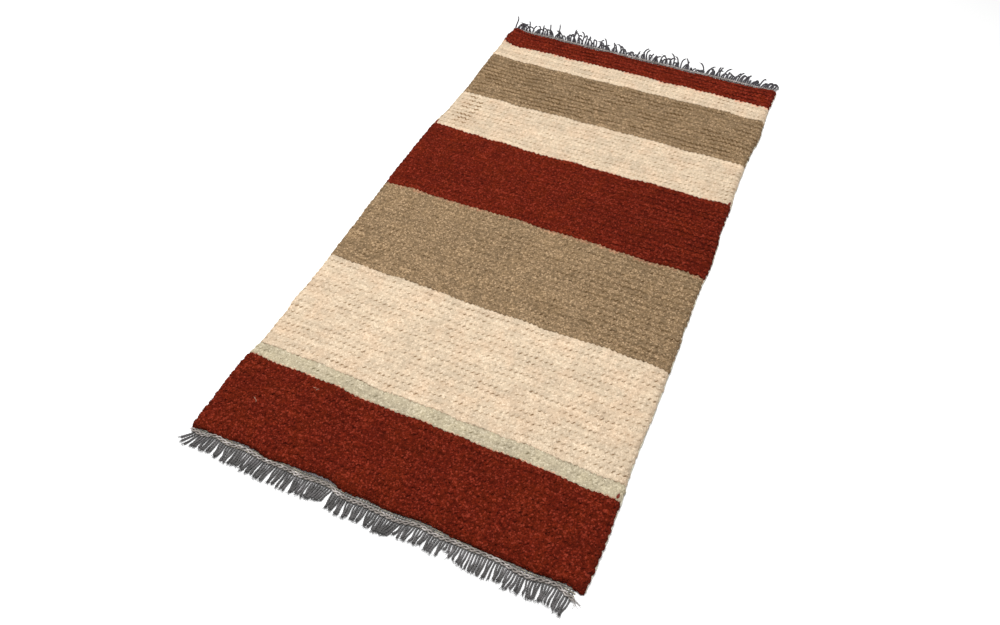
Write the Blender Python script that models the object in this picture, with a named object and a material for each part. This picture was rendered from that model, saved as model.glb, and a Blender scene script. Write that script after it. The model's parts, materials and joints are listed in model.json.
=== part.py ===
"""Striped hand-knotted wool rug lying flat, with twined ends and cut warp fringes.

Metres, +Z up. The rug's length runs along Y. The fringe at the -Y end lies on the floor, and
the one at the +Y end stands up in stiff tufts. The tables are in millimetres: across is
counted from the left edge of the pile, and along from the near end of the pile.
"""
import math

import bmesh
import bpy
from mathutils import Vector

MM = 0.001

# Pile and ground, in millimetres
RUG_WIDTH = 700.0
PILE_TOP = 14.0
PILE_END_TOP = 9.5
SIDE_HEIGHT = 5.5
SIDE_FOOT_INSET = 1.0
SIDE_TOP_INSET = 4.5
GROOVE_INSET = 0.8
SWELL = 0.5
COLUMNS = 6

# Heading strips and their strands, in millimetres
GAP = 0.3
STRIP_TOP = 3.0
ROOT_WIDTH = 2.8
STRAND_WIDTH = 2.4
STRAND_THICK = 2.4
TIP_THICK = 2.0
LEAN_POWER = 1.25

# Twined cords that lie on the strips, in millimetres
CORD_WIDTH = 7.0
CORD_WAIST = 4.8
CORD_THICK = 3.2
CORD_DIP = 0.9
CORD_SWAY = 0.5
CORD_TOP_SHARE = 0.6
LINK_PITCH = 10.0

# One row for each band of colour, from the near end
BANDS = (
    # colour, length, knot rows, groove between the rows
    ("rust", 155.0, 11, 1.5),
    ("sage", 28.5, 2, 1.8),
    ("cream", 237.7, 17, 2.8),
    ("khaki", 238.7, 17, 2.4),
    ("rust", 218.7, 15, 2.2),
    ("cream", 143.7, 10, 2.8),
    ("khaki", 174.0, 12, 2.4),
    ("cream", 59.7, 4, 2.8),
    ("rust", 70.6, 5, 2.2),
)
RUG_LENGTH = sum(length for colour, length, rows, groove in BANDS)

# How far the knot rows wander along the rug, at even places across it
ROW_LINES = (
    # along, then the shift at 0, 20, 40, 60, 80 and 100 % of the width
    (0.0, 0.0, 0.9, 1.8, 2.7, 3.6, 4.5),
    (155.0, 2.8, 2.6, -0.6, 1.0, 0.7, -0.6),
    (421.2, -1.0, 0.2, -1.2, -2.4, 2.3, 0.2),
    (659.9, -3.9, -3.2, 0.2, 1.1, 0.5, 0.6),
    (878.6, 4.5, -2.0, -3.2, -0.1, 1.9, 5.0),
    (1022.3, -1.3, -1.5, 0.2, 1.4, -0.1, -1.2),
    (1196.3, 1.8, -4.1, -1.8, -0.1, 2.0, 1.2),
    (1256.0, -3.5, -0.2, 1.8, 0.7, -0.3, -1.8),
    (RUG_LENGTH, 0.0, 0.0, 0.0, 0.0, 0.0, 0.0),
)

# The left edge: along, and how far it lies inwards
LEFT_EDGE = (
    (0, -2), (130, -3), (165, 1), (190, 4.5), (245, 7.5), (268, 7), (292, 2), (350, 5),
    (405, 4.5), (440, 2), (500, 0), (560, -1.5), (595, -4.5), (660, -5), (700, -7.5),
    (770, -8.5), (850, -9), (894, -5.5), (940, 3), (1029, 4.5), (1080, 2), (RUG_LENGTH, 1),
)

# The right edge: along, and how far it lies outwards
RIGHT_EDGE = (
    (0, 0.5), (146, 1), (200, -2), (281, -0.5), (344, 1), (434, -0.5), (612, -0.5),
    (697, 2.5), (757, 2), (786, -1), (882, -1.5), (950, -4.5), (1000, -3), (1061, -1),
    (1101, 1.5), (1142, 6.5), (1181, 3), (1222, 1.5), (1265, 2), (RUG_LENGTH, 5),
)

# The near twined cord's middle line: across, and how far it lies outside the pile
NEAR_CORD = (
    (5, 9), (25, 11), (52, 4), (80, 7.5), (108, 4), (150, 8), (186, 6.5), (214, 8),
    (256, 4), (270, 4), (291, 10), (305, 12), (333, 10), (376, 11.5), (390, 12), (432, 4.5),
    (460, 8), (502, 6), (552, 4.5), (608, 9.5), (650, 3.2), (682, 12.5),
)

# The far twined cord's middle line, in the same columns
FAR_CORD = (
    (5, 8), (60, 6.5), (120, 7.5), (190, 6), (260, 7.5), (330, 6.5), (400, 7), (470, 6),
    (540, 7.5), (610, 8), (650, 6.5), (694, 8.5),
)

NEAR_FIRST_ROOT = 10.5
NEAR_ROOT_PITCH = 4.8
# The near fringe, one row for each tuft of warp ends, from the left
NEAR_TUFTS = (
    # strands, sideways lean of the first and the last, reach of the first and the last
    (3, -16.0, -10.0, 29.0, 35.0),
    (8, -4.0, -1.0, 34.0, 31.0),
    (5, 4.0, 1.0, 32.0, 36.0),
    (3, 2.0, -1.0, 37.0, 36.0),
    (5, -1.0, -3.0, 34.0, 34.0),
    (5, -4.0, -4.0, 35.0, 37.5),
    (5, -1.0, -6.0, 38.0, 38.0),
    (4, -3.0, -1.0, 36.0, 37.0),
    (4, 2.5, -2.5, 37.0, 38.0),
    (2, 1.5, 0.0, 37.0, 37.5),
    (3, 1.0, -1.0, 36.0, 35.0),
    (9, 0.0, -9.0, 36.0, 31.0),
    (3, 1.0, -2.4, 35.0, 37.0),
    (3, 2.0, -1.4, 38.0, 39.0),
    (8, 2.0, -1.0, 38.0, 36.0),
    (2, 2.0, 0.5, 36.0, 38.0),
    (2, -1.2, -1.0, 37.0, 37.0),
    (8, 0.0, -11.5, 38.0, 39.0),
    (10, -5.0, -2.0, 33.0, 30.0),
    (6, -3.0, -3.0, 32.0, 34.0),
    (3, -3.0, 1.0, 22.0, 22.0),
    (7, 0.0, 1.0, 30.0, 35.0),
    (6, 3.0, -1.0, 35.0, 36.0),
    (6, 0.0, -1.0, 34.0, 32.0),
    (2, -2.0, -1.0, 36.0, 36.0),
    (3, 1.0, -1.0, 36.0, 36.0),
    (2, 3.0, 1.5, 35.0, 35.0),
    (3, 0.0, -2.0, 36.0, 34.0),
    (6, 0.0, -3.0, 33.0, 33.0),
    (4, -3.0, -4.0, 36.0, 40.0),
)

FAR_FIRST_ROOT = 8.0
FAR_ROOT_PITCH = 4.92
# The far fringe, one row for each tuft, from the left
FAR_TUFTS = (
    # strands, sideways lean of the first and the last, run beyond the strip, rise of the tip
    (3, -2.0, 3.0, 14.0, 31.0),
    (7, 5.0, -5.0, 21.0, 24.0),
    (4, -6.0, -8.0, 26.0, 8.0),
    (5, -3.0, -5.0, 21.0, 18.0),
    (5, 1.0, -4.0, 17.0, 28.0),
    (7, -2.0, -4.0, 24.0, 22.0),
    (12, -2.0, -4.0, 22.0, 30.0),
    (4, 0.0, -3.0, 18.0, 26.0),
    (10, 3.0, -6.0, 21.0, 18.0),
    (7, 4.0, -5.0, 22.0, 20.0),
    (7, -4.0, -8.0, 23.0, 10.0),
    (6, 3.0, -2.0, 22.0, 20.0),
    (4, 2.0, -2.0, 21.0, 18.0),
    (4, 0.0, -4.0, 23.0, 15.0),
    (2, -2.0, -2.0, 18.0, 24.0),
    (3, -1.0, -2.0, 20.0, 24.0),
    (5, 1.0, -2.0, 21.0, 22.0),
    (2, 2.0, 2.0, 22.0, 22.0),
    (7, 0.5, 2.0, 17.0, 8.0),
    (5, 4.0, 1.0, 24.0, 20.0),
    (5, 1.0, 3.0, 22.0, 20.0),
    (8, 3.0, 6.0, 26.0, 16.0),
    (6, 5.0, 6.0, 28.0, 12.0),
    (9, 8.0, 12.0, 29.0, 14.0),
    (3, 11.0, 14.0, 30.0, 18.0),
)
# Shares of a tuft's rise that its strands take in turn
RISE_TURNS = (1.0, 0.8, 0.92, 0.7)

# Colour of each yarn, as linear red, green and blue
YARN_COLOURS = {
    "rust": (0.17, 0.024, 0.012),
    "sage": (0.48, 0.45, 0.33),
    "cream": (0.80, 0.62, 0.42),
    "khaki": (0.27, 0.20, 0.125),
    "warp_grey": (0.12, 0.11, 0.11),
    "cord_grey": (0.42, 0.38, 0.37),
}
WOOL_ROUGHNESS = 0.95


def clear_scene():
    for thing in list(bpy.data.objects):
        bpy.data.objects.remove(thing, do_unlink=True)


def yarn_material(name, colour):
    material = bpy.data.materials.new(name)
    material.use_nodes = True
    shader = material.node_tree.nodes["Principled BSDF"]
    shader.inputs["Base Color"].default_value = (*YARN_COLOURS[colour], 1.0)
    shader.inputs["Roughness"].default_value = WOOL_ROUGHNESS
    shader.inputs["Metallic"].default_value = 0.0
    return material


def finish_mesh(name, bm, materials):
    """A closed mesh with its faces outwards, as an object in the scene."""
    bmesh.ops.recalc_face_normals(bm, faces=bm.faces)
    mesh = bpy.data.meshes.new(name)
    bm.to_mesh(mesh)
    bm.free()
    for material in materials:
        mesh.materials.append(material)
    thing = bpy.data.objects.new(name, mesh)
    bpy.context.scene.collection.objects.link(thing)
    return thing


def blend(first, last, share):
    return first + (last - first) * share


def along_table(table, place):
    """The second column at a place in the first, straight between the rows."""
    for (start, before), (end, after) in zip(table, table[1:]):
        if place <= end:
            share = max(0.0, (place - start) / (end - start))
            return blend(before, after, share)
    return table[-1][1]


def eased_table(table, place):
    """As along_table, with a smooth bend at each row."""
    for (start, before), (end, after) in zip(table, table[1:]):
        if place <= end:
            share = max(0.0, (place - start) / (end - start))
            return blend(before, after, share * share * (3.0 - 2.0 * share))
    return table[-1][1]


def line_shift(row, share):
    """One row of ROW_LINES at a share of the width."""
    shifts = row[1:]
    cell = min(int(share * (len(shifts) - 1)), len(shifts) - 2)
    return blend(shifts[cell], shifts[cell + 1], share * (len(shifts) - 1) - cell)


def row_shift(share, along):
    """How far a knot row at this place along has wandered, at a share of the width."""
    for before, after in zip(ROW_LINES, ROW_LINES[1:]):
        if along <= after[0]:
            part = (along - before[0]) / (after[0] - before[0])
            return blend(line_shift(before, share), line_shift(after, share), part)
    return 0.0


def swell(across, along):
    """The pile's slow rise and fall, which leaves the ends level."""
    wave = math.sin(across / 97.0) * math.sin(along / 131.0) + math.sin(across / 61.0 + along / 83.0)
    return SWELL * wave


def pile_lines():
    """Each line across the pile: place along, height, drawn in or not, and its band."""
    lines = [(0.0, PILE_END_TOP, False, 0)]
    start = 0.0
    for number, (colour, length, rows, groove) in enumerate(BANDS):
        pitch = length / rows
        for row in range(rows):
            lines.append((start + (row + 0.5) * pitch, PILE_TOP, False, number))
            lines.append((start + (row + 1) * pitch, PILE_TOP - groove, True, number))
        start += length
    lines[-1] = (RUG_LENGTH, PILE_END_TOP, False, len(BANDS) - 1)
    return lines


def pile_section(along, height, drawn_in, level):
    """The closed outline of the rug on one line across, from the left foot round the top."""
    inset = GROOVE_INSET if drawn_in else 0.0
    left = along_table(LEFT_EDGE, along) + inset
    right = RUG_WIDTH + along_table(RIGHT_EDGE, along) - inset
    outline = [(left + SIDE_FOOT_INSET, 0.0), (left, SIDE_HEIGHT)]
    first, last = left + SIDE_TOP_INSET, right - SIDE_TOP_INSET
    for column in range(COLUMNS + 1):
        across = blend(first, last, column / COLUMNS)
        outline.append((across, height + (0.0 if level else swell(across, along))))
    outline += [(right, SIDE_HEIGHT), (right - SIDE_FOOT_INSET, 0.0)]
    return [(x, along + row_shift(min(max(x / RUG_WIDTH, 0.0), 1.0), along), z) for x, z in outline]


def make_rug():
    """The knotted pile and its ground in one: a slab whose top is ribbed by the knot rows."""
    colours = sorted({band[0] for band in BANDS})
    bm = bmesh.new()
    lines = pile_lines()
    rings = []
    for number, (along, height, drawn_in, band) in enumerate(lines):
        level = number in (0, len(lines) - 1)
        section = pile_section(along, height, drawn_in, level)
        rings.append([bm.verts.new(point) for point in section])
    for (before, after), line in zip(zip(rings, rings[1:]), lines[1:]):
        colour = colours.index(BANDS[line[3]][0])
        for i in range(len(before)):
            j = (i + 1) % len(before)
            face = bm.faces.new((before[i], before[j], after[j], after[i]))
            face.material_index = colour
    for ring, line in ((rings[0], lines[0]), (rings[-1], lines[-1])):
        face = bm.faces.new(ring)
        face.material_index = colours.index(BANDS[line[3]][0])
    return finish_mesh("rug", bm, [yarn_material("wool_" + colour, colour) for colour in colours])


def near_edge(across):
    """The near end of the pile, a straight line."""
    return row_shift(min(max(across / RUG_WIDTH, 0.0), 1.0), 0.0)


def far_edge(across):
    return RUG_LENGTH


def near_cord_line(across):
    return -eased_table(NEAR_CORD, across)


def far_cord_line(across):
    return RUG_LENGTH + eased_table(FAR_CORD, across)


def near_strands():
    """Root and path of each strand of the near fringe, which lies on the floor."""
    tufts, number = [], 0
    for count, first_lean, last_lean, first_reach, last_reach in NEAR_TUFTS:
        tuft = []
        for i in range(count):
            share = i / max(count - 1, 1)
            root = NEAR_FIRST_ROOT + number * NEAR_ROOT_PITCH
            lean = blend(first_lean, last_lean, share)
            start = near_cord_line(root) - CORD_WIDTH / 2
            tip = -blend(first_reach, last_reach, share)
            path = []
            for step, thick in ((0.5, STRAND_THICK), (1.0, TIP_THICK)):
                x = root + lean * step ** LEAN_POWER
                path.append((Vector((x, blend(start, tip, step), thick / 2)), thick))
            tuft.append((root, path))
            number += 1
        tufts.append(tuft)
    return tufts


def far_strands():
    """Root and path of each strand of the far fringe, which rises from its strip."""
    tufts, number = [], 0
    for count, first_lean, last_lean, run, rise in FAR_TUFTS:
        tuft = []
        for i in range(count):
            share = i / max(count - 1, 1)
            root = FAR_FIRST_ROOT + number * FAR_ROOT_PITCH
            lean = blend(first_lean, last_lean, share)
            start = far_cord_line(root) + CORD_WIDTH / 2
            top = rise * RISE_TURNS[number % len(RISE_TURNS)]
            path = []
            for step, thick in ((0.3, STRAND_THICK), (0.65, STRAND_THICK), (1.0, TIP_THICK)):
                x = root + lean * step ** LEAN_POWER
                y = start + run * math.sin(step * math.pi / 2)
                z = STRIP_TOP / 2 + top * step ** 1.4
                path.append((Vector((x, y, z)), thick))
            tuft.append((root, path))
            number += 1
        tufts.append(tuft)
    return tufts


def add_strand(bm, root_ring, path):
    """Carries a root's four corners along the strand's path, and closes the tip."""
    middle = sum((corner.co for corner in root_ring), Vector()) / len(root_ring)
    ring, before = root_ring, middle
    for number, (point, thick) in enumerate(path):
        after = path[min(number + 1, len(path) - 1)][0]
        way = (after - before).normalized()
        up = Vector((0.0, -way.z * math.copysign(1.0, way.y), abs(way.y))).normalized()
        side = Vector((STRAND_WIDTH / 2, 0.0, 0.0))
        lift = up * (thick / 2)
        corners = (point - side - lift, point - side + lift, point + side + lift, point + side - lift)
        new = [bm.verts.new(corner) for corner in corners]
        for i in range(len(ring)):
            j = (i + 1) % len(ring)
            bm.faces.new((ring[i], ring[j], new[j], new[i]))
        ring, before = new, point
    bm.faces.new(ring)


def make_fringe(name, tufts, first, last, inner_line, outer_line):
    """A heading strip along one end with its cut warp ends fused in, as one closed body."""
    bm = bmesh.new()
    roots = [[root for root, path in tuft] for tuft in tufts]
    bounds = [first] + [(a[-1] + b[0]) / 2 for a, b in zip(roots, roots[1:])] + [last]

    def post(across, line):
        y = line(across)
        return bm.verts.new((across, y, 0.0)), bm.verts.new((across, y, STRIP_TOP))

    inner = [post(across, inner_line) for across in bounds]
    outer = [post(across, outer_line) for across in bounds]
    for number, tuft in enumerate(tufts):
        wall = [outer[number]]
        for root, path in tuft:
            a = post(root - ROOT_WIDTH / 2, outer_line)
            b = post(root + ROOT_WIDTH / 2, outer_line)
            bm.faces.new((wall[-1][0], a[0], a[1], wall[-1][1]))
            add_strand(bm, [a[0], a[1], b[1], b[0]], path)
            wall += [a, b]
        wall.append(outer[number + 1])
        bm.faces.new((wall[-2][0], wall[-1][0], wall[-1][1], wall[-2][1]))
        near, far = inner[number], inner[number + 1]
        bm.faces.new((near[0], near[1], far[1], far[0]))
        for level in (0, 1):
            bm.faces.new([near[level], far[level]] + [pair[level] for pair in reversed(wall)])
    for a, b in ((inner[0], outer[0]), (inner[-1], outer[-1])):
        bm.faces.new((a[0], a[1], b[1], b[0]))
    return finish_mesh(name, bm, [yarn_material(name, "warp_grey")])


def make_cord(name, line, first, last):
    """The twined cord on a strip: a flat ridged band, wide at each link and narrow between."""
    bm = bmesh.new()
    links = round((last - first) / LINK_PITCH)
    rings = []
    for number in range(2 * links + 1):
        across = blend(first, last, number / (2 * links))
        wide = number % 2 == 1
        half = (CORD_WIDTH if wide else CORD_WAIST) / 2
        sway = CORD_SWAY * (1 if number % 4 < 2 else -1)
        low = STRIP_TOP + GAP
        high = low + CORD_THICK - (0.0 if wide else CORD_DIP)
        y = line(across) + sway
        section = ((-half, low), (-half * CORD_TOP_SHARE, high), (half * CORD_TOP_SHARE, high), (half, low))
        rings.append([bm.verts.new((across, y + out, z)) for out, z in section])
    for before, after in zip(rings, rings[1:]):
        for i in range(len(before)):
            j = (i + 1) % len(before)
            bm.faces.new((before[i], before[j], after[j], after[i]))
    bm.faces.new(rings[0])
    bm.faces.new(rings[-1])
    return finish_mesh(name, bm, [yarn_material(name, "cord_grey")])


def to_metres_and_centre(things):
    """Scales the meshes from millimetres, with the origin under the middle of their box."""
    points = [vertex.co for thing in things for vertex in thing.data.vertices]
    low = Vector([min(point[i] for point in points) for i in range(3)])
    high = Vector([max(point[i] for point in points) for i in range(3)])
    middle = Vector(((low.x + high.x) / 2, (low.y + high.y) / 2, low.z))
    for thing in things:
        for vertex in thing.data.vertices:
            vertex.co = (vertex.co - middle) * MM
        thing.data.update()


def main():
    clear_scene()
    strip_overlap = CORD_WIDTH / 2
    near_first = NEAR_CORD[0][0]
    near_last = NEAR_CORD[-1][0]
    far_first = FAR_CORD[0][0]
    far_last = FAR_CORD[-1][0] + 1.0
    things = [
        make_rug(),
        make_fringe(
            "near_fringe", near_strands(), near_first, near_last,
            lambda across: near_edge(across) - GAP,
            lambda across: near_cord_line(across) - strip_overlap,
        ),
        make_fringe(
            "far_fringe", far_strands(), far_first, far_last,
            lambda across: far_edge(across) + GAP,
            lambda across: far_cord_line(across) + strip_overlap,
        ),
        make_cord("near_twining", near_cord_line, near_first, near_last),
        make_cord("far_twining", far_cord_line, far_first, far_last),
    ]
    to_metres_and_centre(things)


main()
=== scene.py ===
"""The looks of a hand-knotted striped wool rug: pile, ground, selvedges, headings, cords, fringes.

Metres, +Z up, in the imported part's own frame. The tables are in millimetres: across is counted
from the left edge of the pile, and along from the near end of the pile.
"""

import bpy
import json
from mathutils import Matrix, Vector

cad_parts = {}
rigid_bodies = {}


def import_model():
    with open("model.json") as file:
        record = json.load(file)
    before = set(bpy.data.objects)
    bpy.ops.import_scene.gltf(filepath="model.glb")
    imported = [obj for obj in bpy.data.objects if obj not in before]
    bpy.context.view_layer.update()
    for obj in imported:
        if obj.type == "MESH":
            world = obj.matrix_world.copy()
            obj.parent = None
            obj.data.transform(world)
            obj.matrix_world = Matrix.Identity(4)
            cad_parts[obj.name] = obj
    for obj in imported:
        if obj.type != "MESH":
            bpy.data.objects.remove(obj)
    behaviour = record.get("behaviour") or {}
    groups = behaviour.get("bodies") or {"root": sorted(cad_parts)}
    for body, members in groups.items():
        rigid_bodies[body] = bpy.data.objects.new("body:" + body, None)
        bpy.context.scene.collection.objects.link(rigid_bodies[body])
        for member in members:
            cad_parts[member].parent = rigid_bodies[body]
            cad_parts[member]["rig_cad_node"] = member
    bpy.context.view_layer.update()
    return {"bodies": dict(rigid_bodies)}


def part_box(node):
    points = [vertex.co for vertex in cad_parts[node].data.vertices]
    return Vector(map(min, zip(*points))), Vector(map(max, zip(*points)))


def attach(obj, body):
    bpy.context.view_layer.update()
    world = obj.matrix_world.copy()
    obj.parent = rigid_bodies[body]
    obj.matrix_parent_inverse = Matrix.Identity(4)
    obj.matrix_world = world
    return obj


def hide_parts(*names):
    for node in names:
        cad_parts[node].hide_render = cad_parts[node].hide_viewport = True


bl_info = {
    "name": "Striped Knotted Rug",
    "version": (1, 0, 0),
    "blender": (4, 5, 0),
    "location": "3D View > Sidebar > Rug",
    "description": "Dresses a packed rug with knotted pile, twined cords and cut warp fringes",
    "category": "Object",
}

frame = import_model()

import json
import math
import random

import bpy
from mathutils import Vector

MM = 0.001

# Where the tables' zero lies in the frame: the near left corner of the pile
CORD_STARTS_ACROSS = 5.0
LEFT_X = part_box("near_twining")[0].x - CORD_STARTS_ACROSS * MM
NEAR_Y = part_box("rug")[0].y

RUG_WIDTH = 700.0
# One row for each band of colour, from the near end
BANDS = (
    # colour, length, knot rows
    ("rust", 155.0, 11),
    ("sage", 28.5, 2),
    ("cream", 237.7, 17),
    ("khaki", 238.7, 17),
    ("rust", 218.7, 15),
    ("cream", 143.7, 10),
    ("khaki", 174.0, 12),
    ("cream", 59.7, 4),
    ("rust", 70.6, 5),
)
RUG_LENGTH = sum(band[1] for band in BANDS)

# How far the knot rows wander along the rug, at even places across it
ROW_LINES = (
    # along, then the shift at 0, 20, 40, 60, 80 and 100 % of the width
    (0.0, 0.0, 0.9, 1.8, 2.7, 3.6, 4.5),
    (155.0, 2.8, 2.6, -0.6, 1.0, 0.7, -0.6),
    (421.2, -1.0, 0.2, -1.2, -2.4, 2.3, 0.2),
    (659.9, -3.9, -3.2, 0.2, 1.1, 0.5, 0.6),
    (878.6, 4.5, -2.0, -3.2, -0.1, 1.9, 5.0),
    (1022.3, -1.3, -1.5, 0.2, 1.4, -0.1, -1.2),
    (1196.3, 1.8, -4.1, -1.8, -0.1, 2.0, 1.2),
    (1256.0, -3.5, -0.2, 1.8, 0.7, -0.3, -1.8),
    (RUG_LENGTH, 0.0, 0.0, 0.0, 0.0, 0.0, 0.0),
)

# The left edge: along, and how far it lies inwards
LEFT_EDGE = (
    (0, 1), (50, 0.6), (90, -1.7), (130, -3), (165, 1), (190, 4), (250, 5), (268, 5.5),
    (292, 2.5), (350, 4.3), (405, 3.2), (440, 1.8), (490, 1.3), (530, 0.8), (570, -1.2),
    (610, -2.1), (650, -3.4), (690, -5.4), (770, -5.5), (850, -6), (894, -5), (940, 2),
    (1029, 4), (1050, 4.8), (1090, 3.5), (1130, 2.3), (1200, 1.5), (1256, 2), (1290, -1.5),
    (RUG_LENGTH, 6),
)

# The right edge: along, and how far it lies outwards
RIGHT_EDGE = (
    (0, -5), (50, -3.3), (90, -2.2), (146, -2.4), (170, -2.3), (200, -5), (250, -5.1),
    (281, -4), (344, -2.5), (434, -2.5), (490, -2), (530, -4.5), (570, -3), (612, -4),
    (650, -3.2), (697, 1), (757, -0.5), (786, -4), (850, -4.3), (882, -3), (930, -6),
    (1000, -6), (1061, -4.5), (1101, -1.5), (1142, 3.5), (1181, 0.5), (1222, -0.5),
    (1265, -0.5), (RUG_LENGTH, 3),
)

# How the first and last knot rows' tufts spill over the ends: across, and how far inwards
NEAR_SPILL = (
    (0, -7), (45, -4), (90, 2), (122, 4), (156, -3), (200, 1.5), (249, 5), (291, -3.5),
    (328, -2), (362, -4.5), (400, -4), (432, -1.5), (470, -2), (502, -4.5), (552, -3.5),
    (610, -7), (640, -3), (665, -0.5), (690, -6),
)
FAR_SPILL = (
    (7, 30), (24, 21), (45, 7), (90, 2), (560, 1.5), (595, 3), (623, 5), (650, 5), (678, 8),
    (698, 14),
)
# The far left corner is pulled outwards: how far, where it is greatest, its reach across and along
CORNER_PULL = (23.0, 1262.0, 15.0, 30.0)

# The twined cords' middle lines: across, and how far each lies outside the pile
NEAR_CORD = (
    (5, 9), (25, 11), (52, 4), (80, 7.5), (108, 4), (150, 8), (186, 6.5), (214, 8),
    (256, 4), (270, 4), (291, 10), (305, 12), (333, 10), (376, 11.5), (390, 12), (432, 4.5),
    (460, 8), (502, 6), (552, 4.5), (608, 9.5), (650, 3.2), (682, 12.5),
)
FAR_CORD = (
    (5, 8), (60, 6.5), (120, 7.5), (190, 6), (260, 7.5), (330, 6.5), (400, 7), (470, 6),
    (540, 7.5), (610, 8), (650, 6.5), (694, 8.5),
)
CORD_HALF = 3.5

NEAR_FIRST_ROOT = 10.5
NEAR_ROOT_PITCH = 4.8
# The near fringe, one row for each tuft of warp ends, from the left
NEAR_TUFTS = (
    # strands, sideways lean of the first and the last, reach of the first and the last
    (3, -16, -10, 29, 35), (8, -4, -1, 34, 31), (5, 4, 1, 32, 36), (3, 2, -1, 37, 36),
    (5, -1, -3, 34, 34), (5, -4, -4, 35, 37.5), (5, -1, -6, 38, 38), (4, -3, -1, 36, 37),
    (4, 2.5, -2.5, 37, 38), (2, 1.5, 0, 37, 37.5), (3, 1, -1, 36, 35), (9, 0, -9, 36, 31),
    (3, 1, -2.4, 35, 37), (3, 2, -1.4, 38, 39), (8, 2, -1, 38, 36), (2, 2, 0.5, 36, 38),
    (2, -1.2, -1, 37, 37), (8, 0, -11.5, 38, 39), (10, -5, -2, 33, 30), (6, -3, -3, 32, 34),
    (3, -3, 1, 22, 22), (7, 0, 1, 30, 35), (6, 3, -1, 35, 36), (6, 0, -1, 34, 32),
    (2, -2, -1, 36, 36), (3, 1, -1, 36, 36), (2, 3, 1.5, 35, 35), (3, 0, -2, 36, 34),
    (6, 0, -3, 33, 33), (4, -3, -4, 36, 40),
)

FAR_FIRST_ROOT = 8.0
FAR_ROOT_PITCH = 4.92
# The far fringe, one row for each tuft, from the left
FAR_TUFTS = (
    # strands, sideways lean of the first and the last, run beyond the strip, rise of the tip
    (3, 19, 14, 17, 30), (7, 9, -5, 20, 24), (4, -6, -8, 26, 8), (5, -3, -5, 21, 18),
    (5, 1, -4, 17, 28), (7, -2, -4, 24, 22), (12, -2, -4, 22, 30), (4, 0, -3, 18, 26),
    (10, 3, -6, 21, 18), (7, 4, -5, 22, 20), (7, -4, -8, 23, 10), (6, 3, -2, 22, 20),
    (4, 2, -2, 21, 18), (4, 0, -4, 23, 15), (2, -2, -2, 18, 24), (3, -1, -2, 20, 24),
    (5, 1, -2, 21, 22), (2, 2, 2, 22, 22), (7, 0.5, 2, 17, 8), (5, 4, 1, 24, 20),
    (5, 1, 3, 22, 20), (8, 3, 6, 26, 16), (6, 5, 6, 28, 12), (9, 8, 12, 29, 14),
    (3, 11, 14, 30, 18),
)
# Between these places across, the far strands go from lying anyhow to lying side by side
FAR_CALM = (470.0, 590.0)
# Shares of a tuft's rise that its strands take in turn
RISE_TURNS = (1.0, 0.8, 0.92, 0.7)
# A strand's lean grows with this power of the way along it
LEAN_POWER = 1.25


def linear(hex_colour):
    """A linear colour from an sRGB hex value."""
    channels = [int(hex_colour[i:i + 2], 16) / 255 for i in (0, 2, 4)]
    return [c / 12.92 if c <= 0.04045 else ((c + 0.055) / 1.055) ** 2.4 for c in channels]


def mix(first, last, share):
    return first + (last - first) * share


def along_table(table, place, eased=False):
    """The second column at a place in the first, straight between the rows or eased."""
    for (start, before), (end, after) in zip(table, table[1:]):
        if place <= end:
            share = max(0.0, (place - start) / (end - start))
            if eased:
                share = share * share * (3.0 - 2.0 * share)
            return mix(before, after, share)
    return table[-1][1]


def eased_table(table, place):
    """As along_table, with a smooth bend at each row."""
    return along_table(table, place, eased=True)


def line_shift(row, share):
    """One row of ROW_LINES at a share of the width."""
    shifts = row[1:]
    cell = min(int(share * (len(shifts) - 1)), len(shifts) - 2)
    return mix(shifts[cell], shifts[cell + 1], share * (len(shifts) - 1) - cell)


def row_shift(across, along):
    """How far a knot row at this place along has wandered where it crosses this place."""
    share = min(max(across / RUG_WIDTH, 0.0), 1.0)
    for before, after in zip(ROW_LINES, ROW_LINES[1:]):
        if along <= after[0]:
            part = max(0.0, (along - before[0]) / (after[0] - before[0]))
            return mix(line_shift(before, share), line_shift(after, share), part)
    return 0.0


def left_edge(along):
    return along_table(LEFT_EDGE, along)


def right_edge(along):
    return RUG_WIDTH + along_table(RIGHT_EDGE, along)


def near_cord_line(across):
    return -eased_table(NEAR_CORD, across)


def far_cord_line(across):
    return RUG_LENGTH + eased_table(FAR_CORD, across)


def place(across, along, up):
    """A point of the tables, in the frame."""
    return (LEFT_X + across * MM, NEAR_Y + along * MM, up * MM)


# Sizes and colours that a user would change


def colour_property(name, description, hex_colour):
    return bpy.props.FloatVectorProperty(
        name=name, description=description, subtype="COLOR", size=3, min=0.0, max=1.0,
        default=linear(hex_colour),
    )


def length_property(name, description, millimetres):
    return bpy.props.FloatProperty(
        name=name, description=description, unit="LENGTH", precision=4, min=0.0,
        default=millimetres * MM,
    )


class RugPile(bpy.types.PropertyGroup):
    knots: bpy.props.IntProperty(
        name="Knots in a row", description="Knots from one side to the other", default=70, min=8,
    )
    height: length_property("Pile height", "From the floor to the top of the pile", 14.0)
    slit: length_property("Slit", "Depth of the slit on the near side of a knot", 2.6)
    ends: bpy.props.FloatProperty(
        name="Yarn ends", description="Cut ends that stand out on each square metre",
        default=42000.0, min=0.0,
    )
    end_length: length_property("End length", "How long such an end is", 4.2)
    seed: bpy.props.IntProperty(name="Seed", description="Picks another pile", default=7)


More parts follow.
